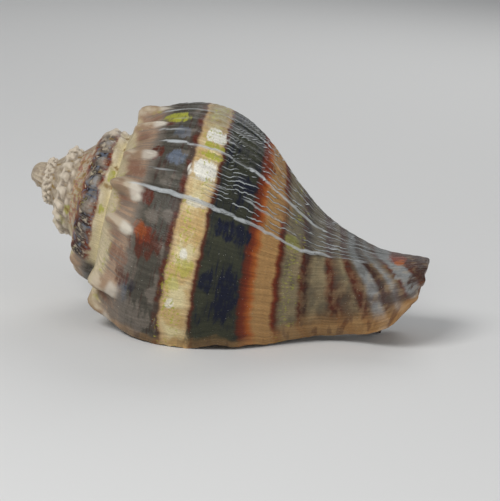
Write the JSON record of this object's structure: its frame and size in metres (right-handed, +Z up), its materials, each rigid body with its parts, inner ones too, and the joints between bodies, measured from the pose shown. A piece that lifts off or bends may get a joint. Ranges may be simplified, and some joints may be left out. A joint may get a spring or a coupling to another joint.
{
  "type": "crown conch shell",
  "caption": "Empty spiral sea snail shell with a spined shoulder, a stepped spire and an open canal, lying on its opening.",
  "frame": {"origin": "centre of the shell's footprint box on the surface it lies on", "axes": "+X towards the canal's end, with the axis dipping 14 degrees that way, -Y towards the outer lip's side, +Z up, away from the opening"},
  "size_m": [0.091, 0.0564, 0.0481],
  "materials": {
    "shell": "semi-gloss, banded cream, tan, slate and red-brown"
  },
  "bodies": {
    "root": {"shell": "shell"}
  },
  "joints": []
}
